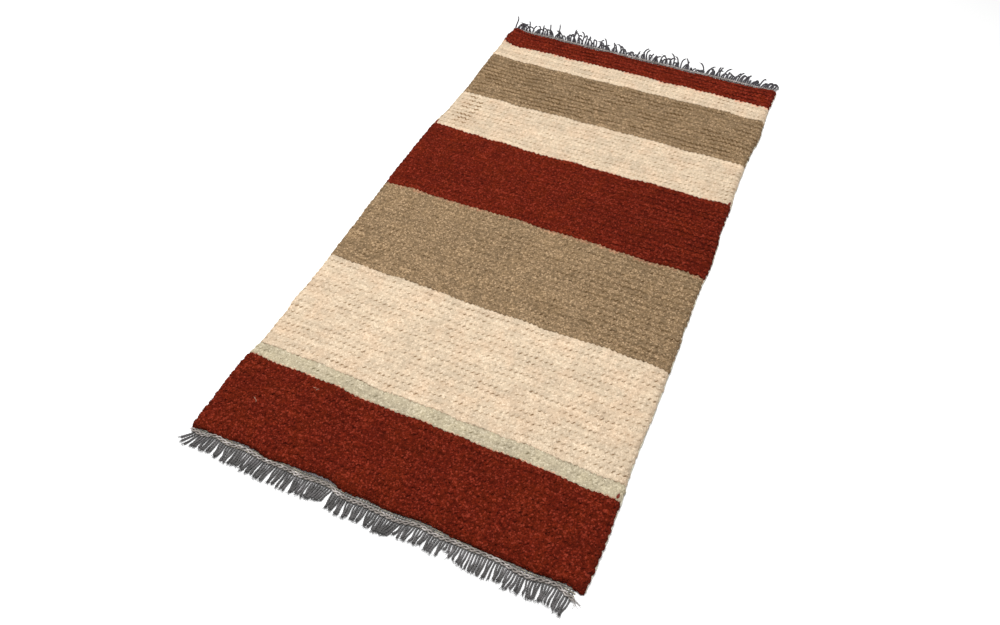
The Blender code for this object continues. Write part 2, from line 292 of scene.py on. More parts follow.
class RugYarn(bpy.types.PropertyGroup):
    warp_width: length_property("Warp width", "Width of a twisted warp end", 3.1)
    warp_thick: length_property("Warp thickness", "Thickness of a twisted warp end", 2.3)
    warp_twist: length_property("Warp twist", "Length of one turn of a warp end", 8.0)
    cord_ply: length_property("Cord ply", "Thickness of each strand of a twined cord", 2.9)
    cord_link: length_property("Cord link", "From one crossing of the strands to the next", 10.0)
    weft: length_property("Weft", "Thickness of a heading's weft yarn", 2.3)
    selvedge: length_property("Selvedge", "Thickness of the overcast side cords", 3.4)


class RugColours(bpy.types.PropertyGroup):
    rust: colour_property("Rust", "Madder-dyed bands", "5D190B")
    sage: colour_property("Sage", "The narrow grey-green band", "B0A48B")
    cream: colour_property("Cream", "Undyed bands", "CBB79D")
    khaki: colour_property("Khaki", "Walnut-dyed bands", "8A7357")
    salmon: colour_property("Salmon", "Where the rust dye has bled", "E08C6C")
    warp: colour_property("Warp", "Ground and near fringe", "787475")
    far_warp: colour_property("Far warp", "The far fringe, which has kept its dark", "3E3B40")
    cord: colour_property("Cord", "Twined cords", "E6DEDB")
    weft: colour_property("Heading weft", "Weft rows of the headings", "C4BC9F")
    selvedge: colour_property("Selvedge", "Overcast sides", "F2E6E6")
    floor: colour_property("Floor", "The studio floor", "FAFAFA")


class RugStage(bpy.types.PropertyGroup):
    azimuth: bpy.props.FloatProperty(
        name="Azimuth", description="Camera's turn round the rug", subtype="ANGLE",
        default=math.radians(24.136),
    )
    elevation: bpy.props.FloatProperty(
        name="Elevation", description="Camera's height above the horizon", subtype="ANGLE",
        default=math.radians(50.63),
    )
    distance: length_property("Distance", "From the camera to the point it looks at", 1435.5)
    lens: bpy.props.FloatProperty(
        name="Lens", description="Focal length on a 36 mm wide sensor, in mm", default=27.566,
    )
    sky: bpy.props.FloatProperty(
        name="Sky", description="Strength of the light from all sides", default=0.45,
    )
    key: bpy.props.FloatProperty(
        name="Key light", description="Power of the large soft light, in watts", default=87.0,
    )


class RugSettings(bpy.types.PropertyGroup):
    pile: bpy.props.PointerProperty(type=RugPile)
    yarn: bpy.props.PointerProperty(type=RugYarn)
    colours: bpy.props.PointerProperty(type=RugColours)
    stage: bpy.props.PointerProperty(type=RugStage)


# Node trees


def add_node(tree, kind, inputs=None, **settings):
    """Adds a node and returns its outputs.

    An input is named or numbered, and takes a value, another node's output or a list of them.
    """
    node = tree.nodes.new(kind)
    for name, value in settings.items():
        setattr(node, name, value)
    for key, value in (inputs or {}).items():
        if isinstance(value, bpy.types.NodeSocket):
            value = [value]
        if isinstance(value, list):
            for source in value:
                tree.links.new(source, node.inputs[key])
        else:
            node.inputs[key].default_value = value
    return node.outputs


def maths(tree, operation, first, second=0.0):
    """One sum on one value or two."""
    return add_node(tree, "ShaderNodeMath", {0: first, 1: second}, operation=operation)[0]


def stored(tree, name):
    """A number that is stored on the points of a guide."""
    return add_node(
        tree, "GeometryNodeInputNamedAttribute", {"Name": name}, data_type="FLOAT",
    )[0]


def geometry_tree(name, inputs):
    """An empty Geometry Nodes tree with named inputs, and its input node."""
    tree = bpy.data.node_groups.new(name, "GeometryNodeTree")
    tree.interface.new_socket("Geometry", in_out="INPUT", socket_type="NodeSocketGeometry")
    for label, kind in inputs:
        tree.interface.new_socket(label, in_out="INPUT", socket_type="NodeSocket" + kind)
    tree.interface.new_socket("Geometry", in_out="OUTPUT", socket_type="NodeSocketGeometry")
    return tree, add_node(tree, "NodeGroupInput")


def end_tree(tree, geometry, material):
    """Realizes the instances, sets the material and ends the tree."""
    real = add_node(tree, "GeometryNodeRealizeInstances", {"Geometry": geometry})
    dressed = add_node(tree, "GeometryNodeSetMaterial", {"Geometry": real[0], "Material": material})
    add_node(tree, "NodeGroupOutput", {"Geometry": dressed[0]})


def run_tree(guide, tree, values, name):
    """Runs a tree on a guide object, and keeps what it makes as a plain mesh piece."""
    modifier = guide.modifiers.new(tree.name, "NODES")
    modifier.node_group = tree
    for item in tree.interface.items_tree:
        if item.in_out == "INPUT" and item.name in values:
            modifier[item.identifier] = values[item.name]
    depsgraph = bpy.context.evaluated_depsgraph_get()
    mesh = bpy.data.meshes.new_from_object(guide.evaluated_get(depsgraph), depsgraph=depsgraph)
    guide.modifiers.remove(modifier)
    bpy.data.objects.remove(guide)
    return show(name, mesh)


def show(name, mesh):
    """A mesh as an object in the scene, at the origin."""
    mesh.name = name
    piece = bpy.data.objects.new(name, mesh)
    bpy.context.scene.collection.objects.link(piece)
    return piece


def fasten(piece, slot, *nodes):
    """A finished piece rides on the rug and stands for its nodes, which are hidden. The slot is not
    used.
    """
    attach(piece, "root" if "root" in frame["bodies"] else next(iter(frame["bodies"])))
    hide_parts(*nodes)
    return piece


# Standing yarn ends keep to this upper share of the pile, and tilt up to this far
TOP_SHARE = 0.4
END_TILT = 0.9
# The darkest and the lightest shade of such an end
END_SHADES = (-4.5, 6.5)


def pile_tree():
    """Scatters cut yarn ends over a band of pile."""
    tree, given = geometry_tree("cut_pile", (
        ("End", "Object"), ("End length", "Float"), ("Ends", "Float"), ("Seed", "Int"),
        ("Material", "Material"),
    ))
    seed = given["Seed"]
    on_top = add_node(tree, "FunctionNodeCompare", {
        0: stored(tree, "pile_depth"), 1: TOP_SHARE,
    }, data_type="FLOAT", operation="LESS_THAN")
    spots = add_node(tree, "GeometryNodeDistributePointsOnFaces", {
        "Mesh": given["Geometry"], "Selection": on_top[0], "Density": given["Ends"], "Seed": seed,
    }, distribute_method="RANDOM")
    shade = add_node(tree, "FunctionNodeRandomValue", {
        2: END_SHADES[0], 3: END_SHADES[1], "Seed": seed,
    }, data_type="FLOAT")
    shaded = add_node(tree, "GeometryNodeStoreNamedAttribute", {
        "Geometry": spots[0], "Name": "knot_shade", "Value": shade[1],
    }, data_type="FLOAT", domain="POINT")
    lie = add_node(tree, "FunctionNodeRandomValue", {
        0: (-END_TILT, -END_TILT, -math.pi), 1: (END_TILT, END_TILT, math.pi), "Seed": seed,
    }, data_type="FLOAT_VECTOR")
    laid = add_node(tree, "FunctionNodeEulerToRotation", {0: lie[0]})
    end = add_node(tree, "GeometryNodeObjectInfo", {"Object": given["End"]})
    ends = add_node(tree, "GeometryNodeInstanceOnPoints", {
        "Points": shaded[0], "Instance": end["Geometry"], "Rotation": laid[0],
        "Scale": given["End length"],
    })
    both = add_node(tree, "GeometryNodeJoinGeometry", {"Geometry": [ends[0], given["Geometry"]]})
    end_tree(tree, both[0], given["Material"])
    return tree


def yarn_tree():
    """Turns guide lines into round or flattened yarn, twisted along its length."""
    tree, given = geometry_tree("twisted_yarn", (
        ("Width", "Float"), ("Thickness", "Float"), ("Twist", "Float"), ("Ring spacing", "Float"),
        ("Sides", "Int"), ("Material", "Material"),
    ))
    line = add_node(tree, "GeometryNodeMeshToCurve", {"Mesh": given["Geometry"]})
    rings = add_node(tree, "GeometryNodeResampleCurve", {
        "Curve": line[0], "Length": given["Ring spacing"],
    }, mode="LENGTH")
    run = add_node(tree, "GeometryNodeSplineParameter")["Length"]
    turns = maths(tree, "DIVIDE", run, given["Twist"])
    twisted = add_node(tree, "GeometryNodeSetCurveTilt", {
        "Curve": rings[0], "Tilt": maths(tree, "MULTIPLY", turns, math.tau),
    })
    ring = add_node(tree, "GeometryNodeCurvePrimitiveCircle", {
        "Resolution": given["Sides"], "Radius": 0.5,
    }, mode="RADIUS")
    marked = add_node(tree, "GeometryNodeStoreNamedAttribute", {
        "Geometry": ring[0], "Name": "yarn_ring",
        "Value": add_node(tree, "GeometryNodeInputPosition")[0],
    }, data_type="FLOAT_VECTOR", domain="POINT")
    flat = add_node(tree, "ShaderNodeCombineXYZ", {
        "X": given["Width"], "Y": given["Thickness"], "Z": 1.0,
    })
    section = add_node(tree, "GeometryNodeTransform", {"Geometry": marked[0], "Scale": flat[0]})
    body = add_node(tree, "GeometryNodeCurveToMesh", {
        "Curve": twisted[0], "Profile Curve": section[0], "Scale": stored(tree, "stoutness"),
        "Fill Caps": True,
    })
    smooth = add_node(tree, "GeometryNodeSetShadeSmooth", {"Geometry": body[0]})
    end_tree(tree, smooth[0], given["Material"])
    return tree


def yarn_lines(lines):
    """Guide lines for the yarn tree. Each is a list of (point, stoutness)."""
    points, stoutness = zip(*(spot for line in lines for spot in line))
    edges, first = [], 0
    for line in lines:
        edges += [(first + i, first + i + 1) for i in range(len(line) - 1)]
        first += len(line)
    mesh = bpy.data.meshes.new("yarn_guide")
    mesh.from_pydata(points, edges, [])
    mesh.attributes.new("stoutness", "FLOAT", "POINT").data.foreach_set("value", stoutness)
    return show("yarn_guide", mesh)


def spin(lines, name, slot, node, finish, width, thickness, twist, spacing, sides):
    """Spins yarn along guide lines, as one finished piece."""
    tree = bpy.data.node_groups.get("twisted_yarn") or yarn_tree()
    fasten(run_tree(yarn_lines(lines), tree, {
        "Width": width, "Thickness": thickness, "Twist": twist, "Ring spacing": spacing,
        "Sides": sides, "Material": finish,
    }, name), slot, node)


# Materials


def new_material(name):
    """A new material and its tree."""
    material = bpy.data.materials.new(name)
    material.use_nodes = True
    return material, material.node_tree


def end_material(material, colour, roughness, gloss, normal=None, sheen=0.0):
    """Sets a material's colour, relief and constants."""
    tree = material.node_tree
    shader = tree.nodes["Principled BSDF"]
    tree.links.new(colour, shader.inputs["Base Color"])
    if normal is not None:
        tree.links.new(normal, shader.inputs["Normal"])
    shader.inputs["Roughness"].default_value = roughness
    shader.inputs["Specular IOR Level"].default_value = gloss
    shader.inputs["Sheen Weight"].default_value = sheen
    return material


def object_place(tree):
    return add_node(tree, "ShaderNodeTexCoord")["Object"]


def grain_place(tree, size_mm, stretch=(1.0, 1.0, 1.0)):
    """The place on the object, counted in grains of this many millimetres."""
    return add_node(tree, "ShaderNodeMapping", {
        "Vector": object_place(tree),
        "Scale": tuple(1.0 / (size_mm * MM * axis) for axis in stretch),
    })[0]


def noise(tree, size_mm, detail=2.0, roughness=0.5, stretch=(1.0, 1.0, 1.0)):
    """A noise whose grain is about this many millimetres across, drawn out along the axes."""
    return add_node(tree, "ShaderNodeTexNoise", {
        "Vector": grain_place(tree, size_mm, stretch), "Scale": 1.0, "Detail": detail,
        "Roughness": roughness,
    })["Fac"]


def remap(tree, value, low, high, first, last):
    """A value's run from low to high, as a run from first to last."""
    return add_node(tree, "ShaderNodeMapRange", {
        "Value": value, "From Min": low, "From Max": high, "To Min": first, "To Max": last,
    })[0]


def tone(tree, value, low, high, swing):
    """A value's run from low to high as a brightness of one, less and more the swing."""
    return remap(tree, value, low, high, 1.0 - swing, 1.0 + swing)


def times(tree, *values):
    """The product of the values."""
    product = values[0]
    for value in values[1:]:
        product = maths(tree, "MULTIPLY", product, value)
    return product


def tinted(tree, factor, base, tint):
    """A colour that turns to a tint as the factor goes to one."""
    if not isinstance(base, bpy.types.NodeSocket):
        base = (*base, 1.0)
    return add_node(tree, "ShaderNodeMix", {
        "Factor": factor, 6: base, 7: (*tint, 1.0),
    }, data_type="RGBA")[2]


def brightened(tree, colour, brightness):
    return add_node(tree, "ShaderNodeVectorMath", {
        0: colour, "Scale": brightness,
    }, operation="SCALE")[0]


def relief(tree, height, strength, depth_mm, under=None):
    """A bump of this depth, over another one where that is given."""
    inputs = {"Strength": strength, "Distance": depth_mm * MM, "Height": height}
    if under is not None:
        inputs["Normal"] = under
    return add_node(tree, "ShaderNodeBump", inputs)[0]


def attribute(tree, name, output="Fac"):
    return add_node(tree, "ShaderNodeAttribute", attribute_name=name)[output]


def three_parts(tree, vector):
    return add_node(tree, "ShaderNodeSeparateXYZ", {0: vector})


# The greatest shade that a knot or a yarn end can have, lighter or darker, and what one is worth
SHADE_SPAN = 8.0
SHADE_STEP = 0.06
# Width of a cut yarn end in the pile, in mm
END_WIDTH = 2.7
# How far the deepest pile turns to its deep colour, which is painted shade
DEEPEST_SHADE = 0.85


def wool(name, colour, salmon, patches, tips, deep, fleck):
    """Hand-spun wool, dyed in the skein and cut: matt and fuzzy, streaked along the rows.

    Each cut yarn end has its own shade, and some have a painted highlight at their tips. The pile
    is painted darker round each end and where it lies deep between the knots: painted shade.
    """
    material, tree = new_material(name)
    streaks = noise(tree, 14.0, roughness=0.6, stretch=(14.0, 1.0, 1.0))
    cells = add_node(tree, "ShaderNodeTexVoronoi", {
        "Vector": grain_place(tree, END_WIDTH), "Scale": 1.0,
    })
    lot = three_parts(tree, cells["Color"])[0]
    shade = attribute(tree, "knot_shade")
    brightness = times(
        tree,
        tone(tree, streaks, 0.3, 0.7, 0.05),
        tone(tree, noise(tree, 45.0), 0.3, 0.7, 0.06),
        tone(tree, lot, 0.0, 1.0, fleck),
        # Painted shade: each cut end darkens towards the rim of its cell, where it meets the next
        tone(tree, cells["Distance"], 0.85, 0.15, 0.7 * fleck),
        tone(tree, shade, -SHADE_SPAN, SHADE_SPAN, SHADE_STEP * SHADE_SPAN),
    )
    in_patch = remap(tree, noise(tree, 32.0, detail=1.5), 0.42, 0.66, 0.0, 0.42)
    bled = tinted(
        tree, attribute(tree, "dye_bleed"), tinted(tree, in_patch, colour, patches), salmon,
    )
    # Painted highlight: the lightest cut ends turn to the colour of their lit tips
    tip_highlighted = tinted(tree, remap(tree, lot, 0.7, 1.0, 0.0, 0.45), bled, tips)
    # Painted shade: the pile turns to its deep colour where it lies deep between the knots
    painted_shade_mix = remap(tree, attribute(tree, "pile_depth"), 0.1, 1.0, 0.0, DEEPEST_SHADE)
    lit = tinted(tree, painted_shade_mix, brightened(tree, tip_highlighted, brightness), deep)
    ends = relief(tree, times(tree, cells["Distance"], -1.0), 0.8, 1.2)
    fuzz = relief(tree, noise(tree, 0.7, roughness=0.6), 0.6, 0.3, under=ends)
    return end_material(material, lit, 0.95, 0.06, fuzz)


def yarn(name, colour, tip_colour, plies, fleck, tips_at=None):
    """Spun yarn of several plies: matt, with a painted shade line where each ply lies on the next.

    It darkens from the first of two places along the rug to the second, where they are given.
    """
    material, tree = new_material(name)
    ring = three_parts(tree, attribute(tree, "yarn_ring", "Vector"))
    angle = maths(tree, "ARCTAN2", ring[1], ring[0])
    wave = maths(tree, "SINE", times(tree, angle, float(plies)))
    hair = noise(tree, 0.9, 3.0, 0.6)
    strand = noise(tree, 5.0, detail=1.0, stretch=(1.0, 6.0, 3.0))
    shades = [
        # Painted light and shade: each ply is lighter on its crown and darker where it meets the
        # next
        tone(tree, wave, -1.0, 1.0, 0.12), tone(tree, strand, 0.36, 0.64, 0.2),
        tone(tree, hair, 0.3, 0.7, fleck),
    ]
    if tips_at:
        along = three_parts(tree, object_place(tree))[1]
        shades.append(tone(tree, along, tips_at[1], tips_at[0], 0.28))
    worn = tinted(tree, tone(tree, noise(tree, 16.0), 0.35, 0.65, 0.5), colour, tip_colour)
    lit = brightened(tree, worn, times(tree, *shades))
    fuzz = relief(tree, hair, 0.5, 0.2, under=relief(tree, wave, 0.7, 0.3))
    return end_material(material, lit, 0.9, 0.25, fuzz, sheen=0.1)


# Warps and weft shots of the ground weave, from one to the next in mm
WEAVE_PITCHES = (5.0, 3.5)


def ground_weave(colour):
    """Cotton warps packed side by side over weft shots: dark, matt and ribbed along the rug."""
    material, tree = new_material("ground_weave_cotton")
    spot = three_parts(tree, object_place(tree))
    weave_relief_and_shade = times(tree, *(
        maths(tree, "SINE", times(tree, spot[axis], math.tau / (pitch * MM)))
        for axis, pitch in enumerate(WEAVE_PITCHES)
    ))
    # Painted light and shade: the weave is lighter and darker as its relief rises and falls
    lit = brightened(tree, colour, times(
        tree, tone(tree, weave_relief_and_shade, -1.0, 1.0, 0.25), tone(tree, noise(tree, 1.5), 0.3, 0.7, 0.2),
    ))
    return end_material(material, lit, 0.95, 0.5, relief(tree, weave_relief_and_shade, 0.8, 0.6))


def studio_floor(colour):
    """Matt white paper sweep: even and without gloss, with a faint fibre."""
    material, tree = new_material("floor_white_paper")
    lit = brightened(tree, colour, tone(tree, noise(tree, 4.0), 0.3, 0.7, 0.004))
    return end_material(material, lit, 1.0, 0.0)


# For each wool: its patches, the painted highlight on the tips of its yarn ends, its painted shade
# deep in the pile, and how much the ends vary
WOOLS = {
    "rust": ("652009", "853728", "330803", 0.37),
    "sage": ("B8AC8E", "CEC4AE", "74694E", 0.15),
    "cream": ("D2B496", "E6D3BB", "76562F", 0.10),
    "khaki": ("8D7455", "B99D7E", "523B20", 0.30),
}


def wool_for(colour):
    """The wool of one of the band colours, made once."""
    name = f"pile_wool_{colour}"
    if name in bpy.data.materials:
        return bpy.data.materials[name]
    chosen = bpy.context.scene.rug.colours
    *tints, fleck = WOOLS[colour]
    return wool(name, getattr(chosen, colour), chosen.salmon, *map(linear, tints), fleck)


# The pile

# Grid lines over one knot row, from its near edge
ROW_PROFILE = (
    # place in the row, height in slits, depth in the pile that sets its painted shade
    (0.0, -1.0, 1.0),
    (0.10, -0.40, 1.0),
    (0.17, 0.02, 0.2),
    (0.36, 0.10, 0.0),
    (0.62, 0.0, 0.0),
    (0.93, -0.30, 0.2),
)
# The lines before this one lie in the slit, the others on top
TOP_STEP = 2
# These lines move when a slit widens
WIDENED_STEPS = (1, 2)
# How deep a knot's slit is at each grid column, from one knot to the next
SLIT_SHARES = (0.05, 0.4, 1.0, 0.45)
# The slits run slantwise: how far the row's edge swings to either side along a knot, in mm
SLANT = 2.0
# How much of that slant is left where a band begins
OUTLINE_SLANT = 0.15
# The rows of dark wool stand apart, and their slits join into lines, beyond the second of these
# places along, and between the two from the first to the second of these places across
APART_ALONG = (421.0, 1030.0)
APART_ACROSS = (330.0, 560.0)
APART_BETWEEN = {"rust": 0.85, "khaki": 0.6}
JOINED_SLITS = 0.8
JOINED_WIDER = 0.07
# Where many slits stand open near a side: across and along, from and to, and the share shut there
OPEN_PATCH = (24.0, 72.0, 895.0, 1015.0)
OPEN_SHUT = 0.45
# Depth of a slit where the rows part
PARTED = 1.35
# For each colour: depth of the slits, roughness of the cut in mm, wander of a knot in mm
CUT = {
    "rust": (0.95, 1.1, 1.6), "sage": (0.7, 0.4, 0.8), "cream": (1.0, 0.6, 1.8),
    "khaki": (0.9, 1.0, 1.4),
}
# How much of that roughness reaches into the slits
SLIT_ROUGHNESS = 0.4
# How far a grid point can lie aside, and how far a row's near edge bows out at each knot, in mm
ASIDE = 0.7
ROW_BOW = 1.0
# How far each row bulges at the rug's sides, in mm: at least, and how much more
SIDE_BULGE = (0.6, 2.2)
END_SHARE = {"rust": 1.0, "sage": 0.3, "cream": 0.35, "khaki": 1.0}
SPILL_EASE = 0.7
EDGE_DROP = 8.0
# How far the drop at each edge reaches inwards
SIDE_ROUNDING = 2.4
NEAR_ROUNDING = 4.5
FAR_ROUNDING = 2.4
PILE_FOOT = 2.0
# How far the pile stands back from the outer side of the selvedge
SIDE_INSET = 1.2
# Depth, painted as shade, that a row's near edge shows on the first row and where a new colour
# begins
FIRST_PAINTED_SHADE = 0.2
COLOUR_PAINTED_SHADE = 0.5
# Depth, painted as shade, that the pile's sides show at its foot
FOOT_PAINTED_SHADE = 0.6

# Where the rows part and the pile shows its painted shade deep between them: across, along
PARTINGS = (
    (142, 202), (156, 200), (172, 199), (206, 207), (234, 211), (242, 214), (264, 199),
    (282, 268), (498, 286), (572, 273), (202, 352), (225, 311), (232, 366), (681, 384),
    (686, 355), (685, 399), (681, 210), (131, 171), (160, 166), (258, 169), (435, 170),
    (533, 169), (541, 976), (592, 937), (52, 945), (45, 917), (329, 893), (255, 957), (520, 908),
    (680, 916), (248, 1222), (548, 1224), (280, 593), (310, 457), (548, 484), (593, 481),
    (687, 488), (311, 577), (305, 509), (148, 491), (351, 622), (449, 453), (32, 1037),
    (79, 1180), (664, 1169), (645, 121),
)
PARTING_REACH = 7.5
# How the shade of a band's knots runs from left to right, by the band's number
SHADE_RUN = {
    4: (0.1, -0.9), 5: (1.5, 0.3), 6: (0.0, 0.3), 7: (-0.2, -0.3), 8: (0.3, 0.9), 9: (3.2, 6.0),
}
# How far whole rows and single knots differ in shade
ROW_SHADE = 1.5
KNOT_SHADE = 2.0
# How much of the rust dye has bled into the next band's first lines, and into the last lines of
# the band before, with how many lines that is
BLED_AFTER = 0.9
BLED_BEFORE = {"sage": 0.8, "cream": 0.8, "khaki": 0.4}
BLED_LINES = (2, 3)
BLEED_SPARED = 0.25
# The kinds of chance, each with its own draws
(
    SLIT_DRAW, ASIDE_DRAW, WANDER_DRAW, CUT_DRAW, ROW_SHADE_DRAW, KNOT_SHADE_DRAW, BLEED_DRAW,
    BULGE_DRAW, GROUP_DRAW, JOINED_DRAW, OPEN_DRAW,
) = range(1, 12)


def row_places(across, along):
    """The rows' slow wave along the rug, finer than the table's."""
    wave = 1.1 * math.sin(across / 31.0 + along / 57.0)
    return wave + 0.8 * math.sin(across / 13.0 - along / 23.0)


def chance(a, b, kind):
    """A steady random number from 0 to 1 for a place in a grid."""
    value = math.sin(a * 12.9898 + b * 78.233 + kind * 37.719) * 43758.5453
    return value - math.floor(value)


def knot_rows():
    """Each knot row's start, its length and its colour, with a last one that closes the far end."""
    rows, start = [], 0.0
    for colour, length, count in BANDS:
        for row in range(count):
            rows.append((start, length / count, colour))
            start += length / count
    rows.append((start, rows[-1][1], rows[-1][2]))
    return rows


def rows_apart(across, along, colour):
    """How far the rows of dark wool stand apart here, from 0 to 1."""
    if colour not in APART_BETWEEN or along < APART_ALONG[0]:
        return 0.0
    if along > APART_ALONG[1]:
        return 1.0
    share = (across - APART_ACROSS[0]) / (APART_ACROSS[1] - APART_ACROSS[0])
    return APART_BETWEEN[colour] * min(1.0, max(0.0, share))


def slit_depth(knot, row, across, along, colour):
    """How deep a knot's slit is: uneven, deeper for some knots together, full where rows part."""
    for x, y in PARTINGS:
        if abs(along - y) < PARTING_REACH and abs(across - x) < PARTING_REACH * 0.8:
            return PARTED
    together = max(0.0, chance((knot + row) // 3, row, GROUP_DRAW) - 0.6)
    return CUT[colour][0] * (0.4 + 0.7 * chance(knot, row, SLIT_DRAW) ** 1.5 + 1.6 * together)


def pile_point(column, line, rows, pile):
    """A point of the pile's surface, and its depth in the pile, which sets its painted shade."""
    row, step = divmod(line, len(ROW_PROFILE))
    knot, part = divmod(column, len(SLIT_SHARES))
    start, pitch, colour = rows[row]
    share, rise, deep = ROW_PROFILE[step]
    rough, wander = CUT[colour][1:]
    columns = pile.knots * len(SLIT_SHARES)
    in_slit = step < TOP_STEP
    new_colour = row > 0 and rows[row - 1][2] != colour
    straight = RUG_WIDTH * column / columns
    apart = rows_apart(straight, start, colour)
    left, right, near, far = OPEN_PATCH
    opened = (
        near < start < far and left < straight < right
        and chance(knot, row, OPEN_DRAW) > OPEN_SHUT
    )
    if step in WIDENED_STEPS:
        share += JOINED_WIDER * max(apart, opened)
    along = start + share * pitch
    across = mix(left_edge(along) + SIDE_INSET, right_edge(along) - SIDE_INSET, column / columns)
    side = min(column, columns - column)
    if side:
        across += ASIDE * (chance(column, line, ASIDE_DRAW) - 0.5)
        wave = math.sin(math.pi * part / len(SLIT_SHARES))
        here, after = (chance(knot, row + i, WANDER_DRAW) - 0.5 for i in (0, 1))
        swing = wave * (2.0 * wander * mix(here, after, share) - ROW_BOW * (1.0 - share))
        slant = SLANT * math.sin(math.tau * part / len(SLIT_SHARES))
        outline = in_slit and (row == 0 or new_colour)
        along += swing - slant * (OUTLINE_SLANT if outline else 1.0)
    if side < 2:
        least, more = SIDE_BULGE
        bulge = (more * chance(row, column, BULGE_DRAW) + least) * math.sin(math.pi * share)
        bulge *= 1.0 - 0.5 * side
        across += bulge if column > side else -bulge
    slit = slit_depth(knot, row, across, along, colour) * SLIT_SHARES[part]
    joined = JOINED_SLITS * (0.3 + 1.1 * chance((knot + row) // 4, row, JOINED_DRAW))
    slit = max(slit, apart * joined, 1.0 if opened else 0.0)
    up = pile.height / MM + rise * slit * pile.slit / MM
    rough *= chance(column, line, CUT_DRAW) - 0.5
    up += rough * (SLIT_ROUGHNESS if in_slit else 1.0) * 2.0
    up += 0.5 * math.sin(across / 19.0 + 2.0 * math.sin(along / 37.0))
    up += 0.4 * math.sin(along / 11.0 - across / 23.0)
    for inward, rounding in (
        (side / columns * RUG_WIDTH, SIDE_ROUNDING), (along, NEAR_ROUNDING),
        (RUG_LENGTH - along, FAR_ROUNDING),
    ):
        up -= EDGE_DROP * math.exp(-inward / rounding)
    spot = along + row_shift(across, along) + row_places(across, along)
    for spill, inward in ((NEAR_SPILL, along), (FAR_SPILL, RUG_LENGTH - along)):
        spot += eased_table(spill, across) * SPILL_EASE ** (inward / pitch + 1.0)
    pull, middle, reach_across, reach_along = CORNER_PULL
    spot += pull * math.exp(-across / reach_across - ((along - middle) / reach_along) ** 2)
    if in_slit and row == 0:
        deep = FIRST_PAINTED_SHADE
    elif in_slit and new_colour:
        deep = COLOUR_PAINTED_SHADE
    return place(across, spot, max(up, PILE_FOOT + 1.0)), deep * slit


def dye_bled(number, line, lines):
    """How much of the rust dye has bled into a grid line of a band."""
    colour = BANDS[number][0]
    if colour == "rust":
        return 0.0
    if line >= lines - BLED_LINES[1] and BANDS[number + 1][0] == "rust":
        return BLED_BEFORE[colour]
    if line < BLED_LINES[0] and BANDS[number - 1][0] == "rust":
        return BLED_AFTER
    return 0.0


def band_mesh(number, rows, pile):
    """One band of pile: a closed body whose top is a grid of knots."""
    steps = len(ROW_PROFILE)
    first_line = steps * sum(band[2] for band in BANDS[:number])
    columns = pile.knots * len(SLIT_SHARES)
    width, lines = columns + 1, BANDS[number][2] * steps + 1
    run = SHADE_RUN.get(number + 1, (0.0, 0.0))
    corners = []
    for line in range(lines):
        row = (first_line + line) // steps
        row_shade = ROW_SHADE * (chance(row, 0, ROW_SHADE_DRAW) - 0.5)
        bled = dye_bled(number, line, lines)
        for column in range(width):
            knot = column // len(SLIT_SHARES)
            shade = mix(*run, column / width) + row_shade
            shade += KNOT_SHADE * (chance(knot, row, KNOT_SHADE_DRAW) - 0.5)
            bleed = bled * max(0.0, chance(knot, row, BLEED_DRAW) - BLEED_SPARED)
            corners.append((*pile_point(column, first_line + line, rows, pile), shade, bleed))
    faces = [
        (a, a + 1, a + width + 1, a + width)
        for line in range(lines - 1) for a in range(line * width, line * width + columns)
    ]
    last = (lines - 1) * width
    rim = [
        *range(width), *range(2 * width - 1, last + width, width),
        *range(last + columns - 1, last - 1, -1), *range(last - width, 0, -width),
    ]
    low = len(corners)
    # The pile's foot takes the painted shade of its sides
    corners += [((*corners[i][0][:2], PILE_FOOT * MM), FOOT_PAINTED_SHADE, 0.0, 0.0) for i in rim]
    for i, corner in enumerate(rim):
        after = (i + 1) % len(rim)
        faces.append((low + i, low + after, rim[after], corner))
    faces.append(tuple(reversed(range(low, low + len(rim)))))
    points, *stored_values = zip(*corners)
    mesh = bpy.data.meshes.new("band")
    mesh.from_pydata(points, [], faces)
    mesh.shade_smooth()
    # The depth stored here sets the pile's painted shade
    for name, values in zip(("pile_depth", "knot_shade", "dye_bleed"), stored_values):
        mesh.attributes.new(name, "FLOAT", "POINT").data.foreach_set("value", values)
    return mesh


# Radius of a cut yarn end's waist, as a share of its length
WAIST = 0.19


def cut_end():
    """A cut yarn end one unit long, pointed both ways and closed."""
    sides = 3
    angles = [math.tau * side / sides for side in range(sides)]
    points = [(WAIST * math.cos(a), 0.0, WAIST * math.sin(a)) for a in angles]
    points += [(0.0, 0.5, 0.0), (0.0, -0.5, 0.0)]
    faces = []
    for side in range(sides):
        after = (side + 1) % sides
        faces += [(after, side, sides), (side, after, sides + 1)]
    mesh = bpy.data.meshes.new("cut_end")
    mesh.from_pydata(points, [], faces)
    mesh.shade_smooth()
    return bpy.data.objects.new("cut_end", mesh)


class RUG_OT_knot_pile(bpy.types.Operator):
    """Knots and cuts the pile, band by band"""

    bl_idname = "rug.knot_pile"
    bl_label = "Knot Pile"

    def execute(self, context):
        pile = context.scene.rug.pile
        tree, rows, end = pile_tree(), knot_rows(), cut_end()
        for number, (colour, *_) in enumerate(BANDS):
            piece = run_tree(show("band", band_mesh(number, rows, pile)), tree, {
                "End": end, "End length": pile.end_length, "Ends": END_SHARE[colour] * pile.ends,
                "Seed": pile.seed + number, "Material": wool_for(colour),
            }, f"pile_{number + 1}_{colour}")
            fasten(piece, "wool_pile", "rug")
        bpy.data.objects.remove(end)
        return {"FINISHED"}


# Pale wisps caught in the front band: across, along, and turn
WISPS = ((70.8, 80.0, -0.5), (76.0, 76.5, -0.9), (152.5, 138.9, 0.1), (158.0, 138.0, 0.9))
# Knots of the neighbouring dye that stand out at the sides: across, along
NUBS = ((689.8, 160.0), (691.0, 887.0), (2.5, 889.0))


